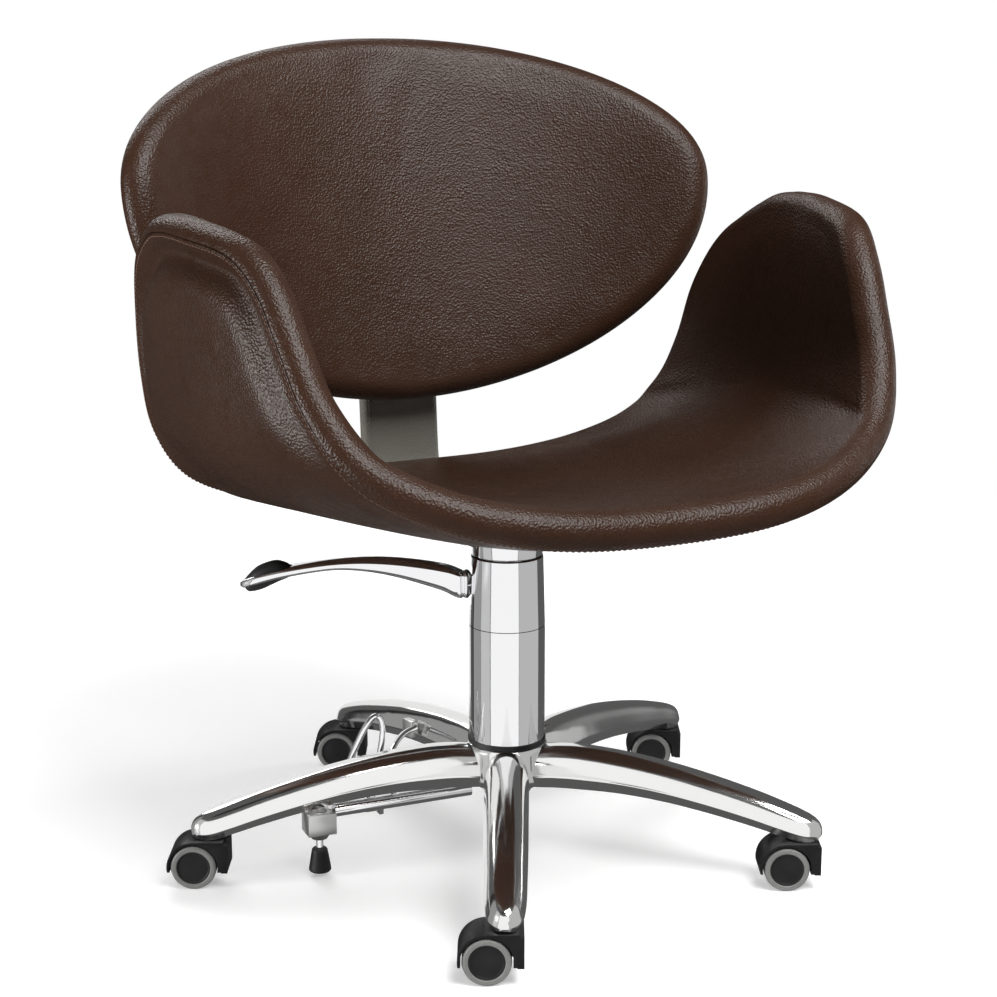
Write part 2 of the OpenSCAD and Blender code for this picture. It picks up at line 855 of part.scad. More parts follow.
wheel(3, -1);  // wheel_3b
wheel(4, 1);  // wheel_4a
wheel(4, -1);  // wheel_4b
wheel(5, 1);  // wheel_5a
wheel(5, -1);  // wheel_5b
tyre(1, 1);  // tyre_1a
tyre(1, -1);  // tyre_1b
tyre(2, 1);  // tyre_2a
tyre(2, -1);  // tyre_2b
tyre(3, 1);  // tyre_3a
tyre(3, -1);  // tyre_3b
tyre(4, 1);  // tyre_4a
tyre(4, -1);  // tyre_4b
tyre(5, 1);  // tyre_5a
tyre(5, -1);  // tyre_5b
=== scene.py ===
"""Rolling styling chair: the visual model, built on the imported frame. Metres, +Z up, seat facing -Y."""

import json
import math

import bmesh
import bpy
import numpy as np
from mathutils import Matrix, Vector
from mathutils.kdtree import KDTree

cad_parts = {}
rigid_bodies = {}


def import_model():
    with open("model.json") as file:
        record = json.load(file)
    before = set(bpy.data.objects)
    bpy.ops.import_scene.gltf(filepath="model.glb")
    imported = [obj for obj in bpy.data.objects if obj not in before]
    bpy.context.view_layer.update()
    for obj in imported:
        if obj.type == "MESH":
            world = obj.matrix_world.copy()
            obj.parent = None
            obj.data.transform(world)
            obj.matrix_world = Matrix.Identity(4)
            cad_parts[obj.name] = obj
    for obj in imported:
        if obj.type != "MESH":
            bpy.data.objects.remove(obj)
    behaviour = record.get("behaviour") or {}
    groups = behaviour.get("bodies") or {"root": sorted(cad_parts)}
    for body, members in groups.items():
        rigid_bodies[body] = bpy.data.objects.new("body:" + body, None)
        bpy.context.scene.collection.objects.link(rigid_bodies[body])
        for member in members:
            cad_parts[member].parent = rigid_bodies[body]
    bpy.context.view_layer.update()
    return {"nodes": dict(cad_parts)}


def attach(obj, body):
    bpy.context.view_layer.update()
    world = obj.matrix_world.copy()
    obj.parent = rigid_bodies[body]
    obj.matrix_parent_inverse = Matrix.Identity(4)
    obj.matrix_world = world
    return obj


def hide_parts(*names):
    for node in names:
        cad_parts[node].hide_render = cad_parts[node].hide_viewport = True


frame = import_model()
MM = 0.001

# ---------------------------------------------------------------- camera and studio


CAMERA_TURN = math.radians(-26)
CAMERA_TILT = math.radians(90 - 12.32)
CAMERA_OUT = 2.221
CAMERA_ASIDE = 0.0095
CAMERA_HEIGHT = 0.8967
CAMERA_LENS = 73.8


def make_camera():
    """A low viewpoint, in front of the chair and to the sitter's right."""
    cam = bpy.data.objects.new("camera", bpy.data.cameras.new("camera"))
    bpy.context.collection.objects.link(cam)
    sine, cosine = math.sin(CAMERA_TURN), math.cos(CAMERA_TURN)
    cam.location = (
        CAMERA_OUT * sine - CAMERA_ASIDE * cosine,
        -CAMERA_OUT * cosine - CAMERA_ASIDE * sine,
        CAMERA_HEIGHT,
    )
    cam.rotation_euler = (CAMERA_TILT, 0, CAMERA_TURN)
    cam.data.lens = CAMERA_LENS
    cam.data.sensor_width = 36
    cam.data.clip_end = 100
    bpy.context.scene.camera = cam


def area_light(name, place, aim, size, power, size_y=None):
    """A soft rectangular light that points at its aim."""
    data = bpy.data.lights.new(name, "AREA")
    data.energy = power
    data.shape = "RECTANGLE"
    data.size = size
    data.size_y = size_y or size
    lamp = bpy.data.objects.new(name, data)
    bpy.context.collection.objects.link(lamp)
    lamp.location = place
    way = Vector(aim) - Vector(place)
    lamp.rotation_euler = way.to_track_quat("-Z", "Y").to_euler()
    return lamp


def view_dir(azimuth, elevation=0):
    """A unit vector pointing from the chair towards that azimuth, where 0 is straight in front."""
    a = math.radians(azimuth)
    e = math.radians(elevation)
    return Vector((math.sin(a) * math.cos(e), -math.cos(a) * math.cos(e), math.sin(e)))


def make_studio(bright):
    """Lights, floor, white surround, and the cards that only the bright metal reflects."""
    bpy.context.scene.view_settings.view_transform = "Standard"
    world = bpy.data.worlds.new("studio")
    world.use_nodes = True
    bpy.context.scene.world = world
    back = world.node_tree.nodes["Background"]
    back.inputs["Color"].default_value = (1, 1, 1, 1)
    back.inputs["Strength"].default_value = 0.1
    aim = (0, 0, 0.5)
    area_light("key", view_dir(14, 60) * 3.0, (0, 0, 0.6), 1.7, 108)
    area_light("left_side", view_dir(-94, 7) * 2.8, (-0.1, 0, 0.65), 0.7, 62, size_y=1.0)
    area_light("right_side", view_dir(96, 16) * 2.8, (0.1, 0, 0.6), 0.6, 24, size_y=1.2)
    area_light("rear", view_dir(178, 40) * 3.2, aim, 1.6, 40)
    floor = disc("studio_floor", FLOOR_RADIUS)
    floor.data.materials.append(floor_material())
    floor.visible_glossy = False
    dome = dome_mesh("studio_dome", DOME_RADIUS)
    dome.data.materials.append(glow_material("white_wall", 1.0))
    for ray in ("visible_diffuse", "visible_glossy", "visible_shadow", "visible_transmission"):
        setattr(dome, ray, False)
    for name, first, last, low, high, shade in CARDS:
        card = arc_card(name, first, last, low, high)
        card.data.materials.append(glow_material(name, shade))
        card.light_linking.receiver_collection = bright
        for ray in ("visible_camera", "visible_shadow", "visible_diffuse"):
            setattr(card, ray, False)


FLOOR_RADIUS = 2.15
DOME_RADIUS = 13.0
CARD_RADIUS = 2.7
# Curved cards that only reflections see. Each row is a name, the first and last azimuth, the lowest
# and highest angle, and the brightness.
CARDS = [
    ("card_front_white", -76, 10, -40, 34, 1.0),
    ("card_left_line", -153, -147, -40, 40, 0.02),
    ("card_left_grey", -146, -112, -40, 40, 0.3),
    ("card_left_pale", -111, -78, -40, 40, 0.55),
    ("card_right_pale", 11, 83, -40, 40, 0.5),
    ("card_right_dark", 84, 128, -40, 40, 0.1),
    ("card_rear_white", 150, 190, -30, 40, 0.85),
    ("card_high", -80, 40, 52, 62, 0.02),
]


def arc_card(name, first, last, low, high, steps=24, rows=9):
    """Part of a sphere round the chair, between two azimuths and two heights in degrees."""
    centre = Vector((0, 0, 0.3))
    points = []
    for e in np.linspace(low, high, rows):
        for a in np.linspace(first, last, steps):
            points.append(view_dir(a, e) * CARD_RADIUS + centre)
    return mesh_object(name, points, grid_faces(rows, steps))


def disc(name, radius, sides=96):
    ring = np.linspace(0, 2 * math.pi, sides, endpoint=False)
    points = [(radius * math.cos(a), radius * math.sin(a), 0) for a in ring]
    return mesh_object(name, points, [range(sides)])


def dome_mesh(name, radius):
    work = bmesh.new()
    bmesh.ops.create_uvsphere(work, u_segments=32, v_segments=16, radius=radius)
    data = bpy.data.meshes.new(name)
    work.to_mesh(data)
    work.free()
    o = bpy.data.objects.new(name, data)
    bpy.context.collection.objects.link(o)
    return o


def mesh_object(name, points, faces):
    """A smooth-shaded object from points in metres and faces of point numbers."""
    data = bpy.data.meshes.new(name)
    data.from_pydata([tuple(p) for p in points], [], [tuple(f) for f in faces])
    data.validate()
    for face in data.polygons:
        face.use_smooth = True
    o = bpy.data.objects.new(name, data)
    bpy.context.collection.objects.link(o)
    return o


def face_outwards(o):
    work = bmesh.new()
    work.from_mesh(o.data)
    bmesh.ops.recalc_face_normals(work, faces=work.faces)
    work.to_mesh(o.data)
    work.free()


def subdivide(o):
    m = o.modifiers.new("smooth", "SUBSURF")
    m.levels = 1
    m.render_levels = 1


def split_edges(o, degrees):
    """Keeps edges crisp where the surface turns by more than that angle."""
    split = o.modifiers.new("split", "EDGE_SPLIT")
    split.split_angle = math.radians(degrees)


def read_points(data):
    """A mesh's points as rows of x, y and z."""
    flat = np.empty(len(data.vertices) * 3)
    data.vertices.foreach_get("co", flat)
    return flat.reshape(-1, 3)


# ---------------------------------------------------------------- materials


class Nodes:
    """A small helper that keeps each material's node code short."""

    def __init__(self, name, base, rough, metal=0.0):
        self.mat = bpy.data.materials.new(name)
        self.mat.use_nodes = True
        self.tree = self.mat.node_tree
        self.shader = self.tree.nodes["Principled BSDF"]
        self.shader.inputs["Base Color"].default_value = (*base, 1)
        self.shader.inputs["Roughness"].default_value = rough
        self.shader.inputs["Metallic"].default_value = metal
        self.place = self.add("ShaderNodeTexCoord").outputs["Object"]

    def add(self, kind, **values):
        n = self.tree.nodes.new(kind)
        for key, value in values.items():
            if key in n.inputs:
                n.inputs[key].default_value = value
            else:
                setattr(n, key, value)
        return n

    def link(self, a, b):
        self.tree.links.new(a, b)

    def noise(self, scale, detail=3.0, rough=0.5, warp=0.0):
        n = self.add("ShaderNodeTexNoise", Scale=scale, Detail=detail, Roughness=rough)
        n.inputs["Distortion"].default_value = warp
        self.link(self.place, n.inputs["Vector"])
        return n.outputs["Fac"]

    def cells(self, scale, smooth):
        n = self.add("ShaderNodeTexVoronoi", Scale=scale)
        n.feature = "SMOOTH_F1"
        n.inputs["Smoothness"].default_value = smooth
        self.link(self.place, n.inputs["Vector"])
        return n.outputs["Distance"]

    def ramp(self, fac, low, high, at=(0.35, 0.65)):
        n = self.add("ShaderNodeValToRGB")
        n.color_ramp.elements[0].position = at[0]
        n.color_ramp.elements[1].position = at[1]
        n.color_ramp.elements[0].color = (*low, 1)
        n.color_ramp.elements[1].color = (*high, 1)
        self.link(fac, n.inputs["Fac"])
        return n.outputs["Color"]

    def grade(self, fac, low, high, to):
        n = self.add("ShaderNodeMapRange")
        n.inputs["From Min"].default_value = 0.3
        n.inputs["From Max"].default_value = 0.7
        n.inputs["To Min"].default_value = low
        n.inputs["To Max"].default_value = high
        self.link(fac, n.inputs["Value"])
        self.link(n.outputs["Result"], to)

    def bump(self, height, strength, distance, onto=None):
        n = self.add("ShaderNodeBump")
        n.inputs["Strength"].default_value = strength
        n.inputs["Distance"].default_value = distance
        self.link(height, n.inputs["Height"])
        if onto is not None:
            self.link(onto, n.inputs["Normal"])
        return n.outputs["Normal"]

    def colour(self, socket):
        self.link(socket, self.shader.inputs["Base Color"])

    def normal(self, socket):
        self.link(socket, self.shader.inputs["Normal"])


def leather_material(name, dark, light, rough=0.34, grain=400.0, gloss=0.3):
    """Pebbled hide: soft cells broken by noise, with faint stretch and colour drift."""
    n = Nodes(name, light, rough)
    drift = n.noise(6.0, 4.0, 0.55, 0.3)
    n.colour(n.ramp(drift, dark, light, (0.25, 0.75)))
    n.grade(n.noise(55.0, 3.0), rough - 0.05, rough + 0.07, n.shader.inputs["Roughness"])
    pebble = n.cells(grain, 0.4)
    fine = n.noise(grain * 3.0, 3.0, 0.6)
    soft = n.noise(16.0, 3.0, 0.5, 0.5)
    first = n.bump(soft, 0.16, 0.006)
    second = n.bump(pebble, 0.62, 0.001, first)
    n.normal(n.bump(fine, 0.22, 0.0004, second))
    n.shader.inputs["Specular IOR Level"].default_value = gloss
    return n.mat


def polished_material(name, base, rough, ripple=0.05):
    """Bright metal with the faint waviness and rubbing marks of polished castings."""
    n = Nodes(name, base, rough, 1.0)
    smear = n.noise(24.0, 4.0, 0.6, 0.5)
    n.grade(smear, max(0.02, rough - 0.03), rough + 0.05, n.shader.inputs["Roughness"])
    wave = n.bump(n.noise(16.0, 2.0, 0.5, 0.2), ripple, 0.01)
    n.normal(n.bump(n.noise(900.0, 2.0), 0.015, 0.0002, wave))
    return n.mat


def plastic_material(name, base, rough, grain=1500.0, strength=0.12):
    """Moulded plastic or rubber with a fine spark-eroded texture."""
    n = Nodes(name, base, rough)
    lighter = tuple(min(1, c * 1.35 + 0.003) for c in base)
    n.colour(n.ramp(n.noise(30.0, 4.0), base, lighter, (0.3, 0.8)))
    n.grade(n.noise(80.0, 3.0), rough - 0.05, rough + 0.08, n.shader.inputs["Roughness"])
    n.normal(n.bump(n.noise(grain, 3.0, 0.6), strength, 0.0003))
    return n.mat


def painted_material(name, base, rough):
    """Paint on steel, faintly uneven."""
    n = Nodes(name, base, rough)
    n.grade(n.noise(90.0, 3.0), rough - 0.06, rough + 0.08, n.shader.inputs["Roughness"])
    n.normal(n.bump(n.noise(420.0, 3.0, 0.5), 0.1, 0.0004))
    return n.mat


def board_material():
    """Pressed ply: long streaks of grain."""
    n = Nodes("ply", (0.45, 0.32, 0.18), 0.6)
    stretch = n.add("ShaderNodeMapping")
    stretch.inputs["Scale"].default_value = (1.0, 14.0, 14.0)
    n.link(n.place, stretch.inputs["Vector"])
    grain = n.add("ShaderNodeTexNoise", Scale=9.0, Detail=6.0)
    n.link(stretch.outputs["Vector"], grain.inputs["Vector"])
    n.colour(n.ramp(grain.outputs["Fac"], (0.3, 0.19, 0.1), (0.55, 0.4, 0.24)))
    n.normal(n.bump(grain.outputs["Fac"], 0.2, 0.0006))
    return n.mat


def floor_material():
    """Plain white paper."""
    n = Nodes("floor_paper", (0.86, 0.86, 0.86), 0.8)
    n.shader.inputs["Emission Color"].default_value = (1, 1, 1, 1)
    n.shader.inputs["Emission Strength"].default_value = 0.34
    n.normal(n.bump(n.noise(300.0, 2.0), 0.02, 0.001))
    return n.mat


def glow_material(name, strength):
    """A surface that only shines, for the surround and the cards."""
    mat = bpy.data.materials.new(name)
    mat.use_nodes = True
    shader = mat.node_tree.nodes["Principled BSDF"]
    shader.inputs["Base Color"].default_value = (0, 0, 0, 1)
    shader.inputs["Specular IOR Level"].default_value = 0
    shader.inputs["Emission Color"].default_value = (1, 1, 1, 1)
    shader.inputs["Emission Strength"].default_value = strength
    return mat


BROWN_DARK, BROWN_LIGHT = (0.032, 0.0142, 0.0078), (0.043, 0.0195, 0.0112)
GREY_DARK, GREY_LIGHT = (0.115, 0.11, 0.092), (0.15, 0.143, 0.122)


def make_materials():
    return {
        "leather": leather_material("brown_leather", BROWN_DARK, BROWN_LIGHT),
        "panel": leather_material("brown_leather_panel", BROWN_DARK, BROWN_LIGHT, 0.38),
        "grey": leather_material("grey_leather", GREY_DARK, GREY_LIGHT, 0.5, 700.0, 0.25),
        "thread": plastic_material("brown_thread", (0.15, 0.078, 0.05), 0.6, 2500.0, 0.3),
        "grey_thread": plastic_material("grey_thread", (0.1, 0.1, 0.09), 0.6, 2500.0, 0.3),
        "chrome": polished_material("chrome", (0.9, 0.9, 0.91), 0.045, 0.02),
        "aluminium": polished_material("polished_aluminium", (0.87, 0.87, 0.86), 0.1, 0.06),
        "satin": polished_material("satin_metal", (0.62, 0.62, 0.61), 0.3, 0.05),
        "steel": polished_material("steel", (0.56, 0.56, 0.57), 0.25, 0.03),
        "dark": painted_material("black_paint", (0.025, 0.025, 0.026), 0.38),
        "nylon": plastic_material("black_nylon", (0.012, 0.012, 0.0125), 0.36),
        "hub": plastic_material("black_hub", (0.016, 0.016, 0.0165), 0.42),
        "tyre": plastic_material("grey_tyre", (0.16, 0.16, 0.155), 0.55, 1800.0, 0.15),
        "rubber": plastic_material("black_rubber", (0.014, 0.014, 0.014), 0.5),
        "ply": board_material(),
    }


# ---------------------------------------------------------------- the seat's shape

# The same three curves as the CAD: from the middle of the seat to the tip of a wing, in millimetres.
SEAT_FRONT = [
    (0, -368, 457), (118, -368, 464), (212, -345, 484), (280, -305, 520), (312, -264, 576),
    (324, -227, 636), (333, -195, 686), (349, -148, 724), (371, -62, 738), (375, -8, 740),
]
SEAT_MIDDLE = [
    (0, -40, 411), (122, -40, 416), (221, -36, 442), (297, -30, 476), (337, -24, 518),
    (354, -18, 578), (361, -14, 645), (366, -12, 705), (373, -9, 736.5), (375, -8, 740),
]
SEAT_REAR = [
    (0, 282, 388), (118, 278, 391), (212, 266, 404), (283, 244, 435), (322, 218, 488),
    (339, 196, 548), (350, 172, 622), (363, 124, 688), (375, 44, 731), (375, -8, 740),
]
SEAT_HALF = 20.0
BACK_HALF = 21.0
# Distances from the edge, in millimetres, of the rings of points that round it over
RIM = [0, 0.3, 1.2, 2.7, 4.7, 7.1, 9.6, 11.9, 13.5, 14.4, 15.2, 16, 19.2, 25, 34]
# The ring that carries the seam, the ring of the stitches further in, and how far the panel's edge
# is sunk under the cover
SEAM_RING = 10
STITCH_RING = SEAM_RING + 2
TUCK = 1.2


def spline_rows(rows, u):
    """Catmull-Rom through the rows, mirrored about the seat's middle."""
    rows = np.array(rows, float)
    mirrored = rows[1] * (-1, 1, 1)
    beyond = 2 * rows[-1] - rows[-2]
    padded = np.vstack([mirrored, rows, beyond])
    i = np.clip(np.floor(u).astype(int), 0, len(rows) - 2)
    t = (u - i)[..., None]
    p0, p1, p2, p3 = padded[i], padded[i + 1], padded[i + 2], padded[i + 3]
    return 0.5 * (
        2 * p1
        + (p2 - p0) * t
        + (2 * p0 - 5 * p1 + 4 * p2 - p3) * t**2
        + (3 * p1 - p0 - 3 * p2 + p3) * t**3
    )


def seat_surface(u, v):
    """A point of the seat's middle surface: u runs out to the wing, v from front to rear."""
    f = spline_rows(SEAT_FRONT, u)
    m = spline_rows(SEAT_MIDDLE, u)
    r = spline_rows(SEAT_REAR, u)
    c = 2 * m - (f + r) / 2
    v = v[..., None]
    return (1 - v) ** 2 * f + 2 * v * (1 - v) * c + v**2 * r


def unit(a):
    return a / np.maximum(np.linalg.norm(a, axis=-1, keepdims=True), 1e-9)


def nearest_on(path, points):
    """(nearest point on the path, distance) for every point."""
    a, b = path[:-1], path[1:]
    ab = b - a
    flat = points.reshape(-1, 3)
    best = np.full(len(flat), 1e9)
    spot = np.zeros_like(flat)
    for i in range(len(a)):
        t = np.clip(((flat - a[i]) @ ab[i]) / max(ab[i] @ ab[i], 1e-9), 0, 1)
        q = a[i] + t[:, None] * ab[i]
        d = np.linalg.norm(flat - q, axis=1)
        near = d < best
        best[near] = d[near]
        spot[near] = q[near]
    return spot.reshape(points.shape), best.reshape(points.shape[:-1])


def even(path, shares):
    """Points at those shares of a path's length."""
    step = np.concatenate([[0], np.cumsum(np.linalg.norm(np.diff(path, axis=0), axis=1))])
    return np.stack([np.interp(shares * step[-1], step, path[:, k]) for k in range(3)], -1)


def edge_run(rows, first, last, count=120):
    return spline_rows(rows, np.linspace(first, last, count))


def row_shares(width, across):
    """Where a row's points lie along it: close together at both rims, even between them."""
    share = np.minimum(np.array(RIM) / width, np.linspace(0, 0.34, len(RIM)))
    inner = np.linspace(share[-1], 1 - share[-1], across + 2)[1:-1]
    return np.concatenate([share, inner, 1 - share[::-1]])


# Where along the edge curves the wing's patch starts, where its top corner lies, and the tip
LAST_STRAIGHT = 5.4
WING_CORNER = 7.35
WING_TIP = 9
PATCH_TALL = 150.0
PATCH_ROWS = 13


def wing_patch(across):
    """Rows from the last straight row up to the rounded top of a wing, as a Coons patch."""
    left = edge_run(SEAT_FRONT, LAST_STRAIGHT, WING_CORNER)
    right = edge_run(SEAT_REAR, LAST_STRAIGHT, WING_CORNER)
    up = edge_run(SEAT_FRONT, WING_CORNER, WING_TIP)
    down = edge_run(SEAT_REAR, WING_TIP, WING_CORNER)
    top = np.vstack([up, down[1:]])
    base = seat_surface(np.full(200, LAST_STRAIGHT), np.linspace(0, 1, 200))
    rim = 1 - np.array(RIM[::-1]) / PATCH_TALL
    rows = []
    for s in np.concatenate([np.linspace(0, rim[0], PATCH_ROWS)[1:-1], rim]):
        a = even(left, np.array([s]))[0]
        b = even(right, np.array([s]))[0]
        width = np.linalg.norm(a - b) * (1 + 0.35 * s * s)
        t = row_shares(width, across)[:, None]
        low, high = even(base, t[:, 0]), even(top, t[:, 0])
        corners = (1 - s) * ((1 - t) * base[0] + t * base[-1])
        corners = corners + s * ((1 - t) * top[0] + t * top[-1])
        rows.append((1 - s) * low + s * high + (1 - t) * a + t * b - corners)
    return np.array(rows)


def neighbours(values):
    """The sum of the four values round each point of a grid."""
    wide = np.pad(values, ((1, 1), (1, 1), (0, 0)), "edge")
    return wide[:-2, 1:-1] + wide[2:, 1:-1] + wide[1:-1, :-2] + wide[1:-1, 2:]


def grid_normals(points):
    """Each grid point's normal, evened out a little with its neighbours'."""
    du = np.gradient(points, axis=0)
    dv = np.gradient(points, axis=1)
    normals = unit(np.cross(unit(du), unit(dv)))
    for _ in range(6):
        normals = unit(normals + 0.25 * neighbours(normals))
    return normals


def seat_edge():
    """The outline of half the seat, from the middle of the front to the middle of the rear."""
    return np.vstack([
        edge_run(SEAT_FRONT, 0, WING_TIP, 260),
        edge_run(SEAT_REAR, WING_TIP, 0, 260)[1:],
    ])


# Rows of points along each half of the seat, and the first ones, which the smoothing leaves alone
ROWS_ALONG = 44
ROWS_LEFT_ALONE = 40


def seat_grid(across=26):
    """A grid over half of the middle surface whose outer rings keep a fixed distance from the edge."""
    rows = []
    for u in np.linspace(0, LAST_STRAIGHT, ROWS_ALONG):
        ends = spline_rows(SEAT_FRONT, np.array([u])) - spline_rows(SEAT_REAR, np.array([u]))
        v = row_shares(np.linalg.norm(ends), across)
        rows.append(seat_surface(np.full(len(v), u), v))
    points = np.concatenate([np.array(rows), wing_patch(across)])
    count, cols = points.shape[:2]
    down = count - 1 - np.arange(count)[:, None]
    side = np.minimum(np.arange(cols), cols - 1 - np.arange(cols))[None, :]
    ring = np.minimum(down, side)
    rim = (ring < len(RIM)) & (ring > 0)
    want = np.array(RIM)[np.minimum(ring, len(RIM) - 1)]
    edge = seat_edge()
    for _ in range(3):
        normals = grid_normals(points)
        spot, depth = nearest_on(edge, points)
        away = points - spot
        away = unit(away - normals * np.sum(away * normals, axis=-1, keepdims=True))
        points = points + away * np.where(rim, want - depth, 0.0)[..., None]
        points = relax_inside(points, ring)
    spot, depth = nearest_on(edge, points)
    depth = np.where(ring < len(RIM), want, depth)
    return points, grid_normals(points), depth, ring


def relax_inside(points, ring):
    """Evens out the wing's inner points, leaving the rim and the rest of the seat alone."""
    free = ring >= len(RIM)
    free[:ROWS_LEFT_ALONE] = False
    for _ in range(12):
        around = neighbours(points) / 4
        points = np.where(free[..., None], 0.5 * points + 0.5 * around, points)
    return points


def mirror_grid(points, normals, depth, ring):
    """The other half, joined at the middle row."""
    flip = np.array([-1, 1, 1])
    return (
        np.concatenate([points[:0:-1] * flip, points]),
        np.concatenate([normals[:0:-1] * flip, normals]),
        np.concatenate([depth[:0:-1], depth]),
        np.concatenate([ring[:0:-1], ring]),
    )


def round_over(d, half):
    """Half the thickness at a distance from the edge: a quarter circle, then level."""
    inside = half - np.minimum(d, half)
    return np.sqrt(np.maximum(half * half - inside * inside, 0))


def gauss(x, centre, width):
    return np.exp(-(((x - centre) / width) ** 2))


def grid_faces(rows, cols, keep=None, offset=0, flip=False):
    faces = []
    for i in range(rows - 1):
        for j in range(cols - 1):
            if keep is not None and not keep[i, j]:
                continue
            a = offset + i * cols + j
            quad = (a, a + 1, a + cols + 1, a + cols)
            faces.append(quad[::-1] if flip else quad)
    return faces


def drop_loose(o):
    """Removes unused points, joins doubled ones and turns the faces outwards."""
    work = bmesh.new()
    work.from_mesh(o.data)
    loose = [p for p in work.verts if not p.link_faces]
    bmesh.ops.delete(work, geom=loose, context="VERTS")
    bmesh.ops.remove_doubles(work, verts=work.verts, dist=0.00002)
    bmesh.ops.recalc_face_normals(work, faces=work.faces)
    work.to_mesh(o.data)
    work.free()


def face_rings(ring):
    """The ring of each quad: the smallest of its corners."""
    low = np.minimum(ring[:-1, :-1], ring[1:, 1:])
    return np.minimum(low, np.minimum(ring[1:, :-1], ring[:-1, 1:]))


# The hollow behind each wing's roll: how deep, how far from the edge, and how wide. It fades in
# between two heights.
VALLEY_DEEP, VALLEY_AT, VALLEY_WIDE = 14, 38, 14
WING_STARTS, WING_FULL = 440, 560


def seat_meshes():
    """The seat's inner cover, which wraps the roll as far as the seam, and its outer panel."""
    points, normals, depth, ring = mirror_grid(*seat_grid())
    rows, cols = depth.shape
    wing = np.clip((points[..., 2] - WING_STARTS) / (WING_FULL - WING_STARTS), 0, 1)
    inner_h = round_over(depth, SEAT_HALF)
    outer_h = inner_h - VALLEY_DEEP * wing * gauss(depth, VALLEY_AT, VALLEY_WIDE)
    outer_h = outer_h - 2.2 * gauss(depth, RIM[SEAM_RING], 0.8)
    inner = points + normals * inner_h[..., None]
    outer = points - normals * outer_h[..., None]
    quad_ring = face_rings(ring)
    both = np.concatenate([inner.reshape(-1, 3), outer.reshape(-1, 3)]) * MM
    count = rows * cols
    faces = grid_faces(rows, cols)
    faces += grid_faces(rows, cols, quad_ring < SEAM_RING, count, True)
    cover = mesh_object("seat_cover", both, faces)
    drop_loose(cover)
    tucked = outer + normals * (np.where(ring <= SEAM_RING, TUCK, 0.0)[..., None])
    panel = mesh_object(
        "seat_panel", tucked.reshape(-1, 3) * MM,
        grid_faces(rows, cols, quad_ring >= SEAM_RING, 0, True),
    )
    drop_loose(panel)
    seam = seam_loop(outer, STITCH_RING)
    below = seam_loop(points, STITCH_RING)
    return cover, panel, seam, below


def seam_loop(points, which):
    """The closed line of grid points on one ring."""
    rows, cols = points.shape[:2]
    low, high = which, cols - 1 - which
    first, last = which, rows - 1 - which
    loop = [points[i, low] for i in range(first, last + 1)]
    loop += [points[last, j] for j in range(low + 1, high + 1)]
    loop += [points[i, high] for i in range(last - 1, first - 1, -1)]
    loop += [points[first, j] for j in range(high - 1, low, -1)]
    return np.array(loop)


def along_loop(loop, pitch):
    """Places every pitch along a closed loop, and the directions there."""
    closed = np.vstack([loop, loop[:1]])
    step = np.linalg.norm(np.diff(closed, axis=0), axis=1)
    total = np.concatenate([[0], np.cumsum(step)])
    count = int(total[-1] / pitch)
    where = np.linspace(0, total[-1], count, endpoint=False)
    spots = np.stack([np.interp(where, total, closed[:, k]) for k in range(3)], axis=1)
    ahead = np.roll(spots, -1, axis=0) - np.roll(spots, 1, axis=0)
    return spots, unit(ahead)


# One stitch: place along it, thickness and lift, as shares of its length and radius
STITCH = [
    (-0.5, 0.35, -0.9), (-0.36, 0.85, -0.2), (0, 1, 0.1), (0.36, 0.85, -0.2), (0.5, 0.35, -0.9),
]


def stitch_mesh(name, spots, ways, ups, length, radius, sides=6):
    """Short rounded threads, each dipping into the leather at its ends."""
    points = []
    faces = []
    for spot, way, up in zip(spots, ways, ups):
        side = np.cross(way, up)
        base = len(points)
        for t, fat, lift in STITCH:
            centre = spot + way * length * t + up * radius * lift
            for k in range(sides):
                a = 2 * math.pi * k / sides
                points.append(centre + radius * fat * (math.cos(a) * side + math.sin(a) * up))
        for r in range(len(STITCH) - 1):
            for k in range(sides):
                a = base + r * sides + k
                b = base + r * sides + (k + 1) % sides
                faces.append((a, b, b + sides, a + sides))
        faces.append(tuple(base + k for k in range(sides))[::-1])
        faces.append(tuple(base + (len(STITCH) - 1) * sides + k for k in range(sides)))
    return mesh_object(name, points, faces)


# ---------------------------------------------------------------- the back's shape

BACK_WIDE, BACK_HIGH, BACK_LOW = 366.0, 166.0, 273.0
BACK_BEND = 568.0
RECLINE = math.radians(11.9)
BACK_CENTRE = (0.0, 318.0, 751.0)
UPPER_FULLNESS = 2.13
INNER_RINGS = 9


def signed_power(x, n):
    return np.sign(x) * np.abs(x) ** n


def back_surface(a, b):
    """A point of the back's middle surface: a across it, b up it."""
    y = BACK_CENTRE[1] - BACK_BEND + np.sqrt(BACK_BEND**2 - a**2) + b * math.sin(RECLINE)
    return np.stack([a, y, BACK_CENTRE[2] + b * math.cos(RECLINE)], -1)


def back_normals(a):
    slope = -a / np.sqrt(BACK_BEND**2 - a**2)
    ones = np.ones_like(a)
    lean, rise = math.cos(RECLINE), math.sin(RECLINE)
    return unit(np.stack([slope * lean, -lean * ones, rise * ones], -1))


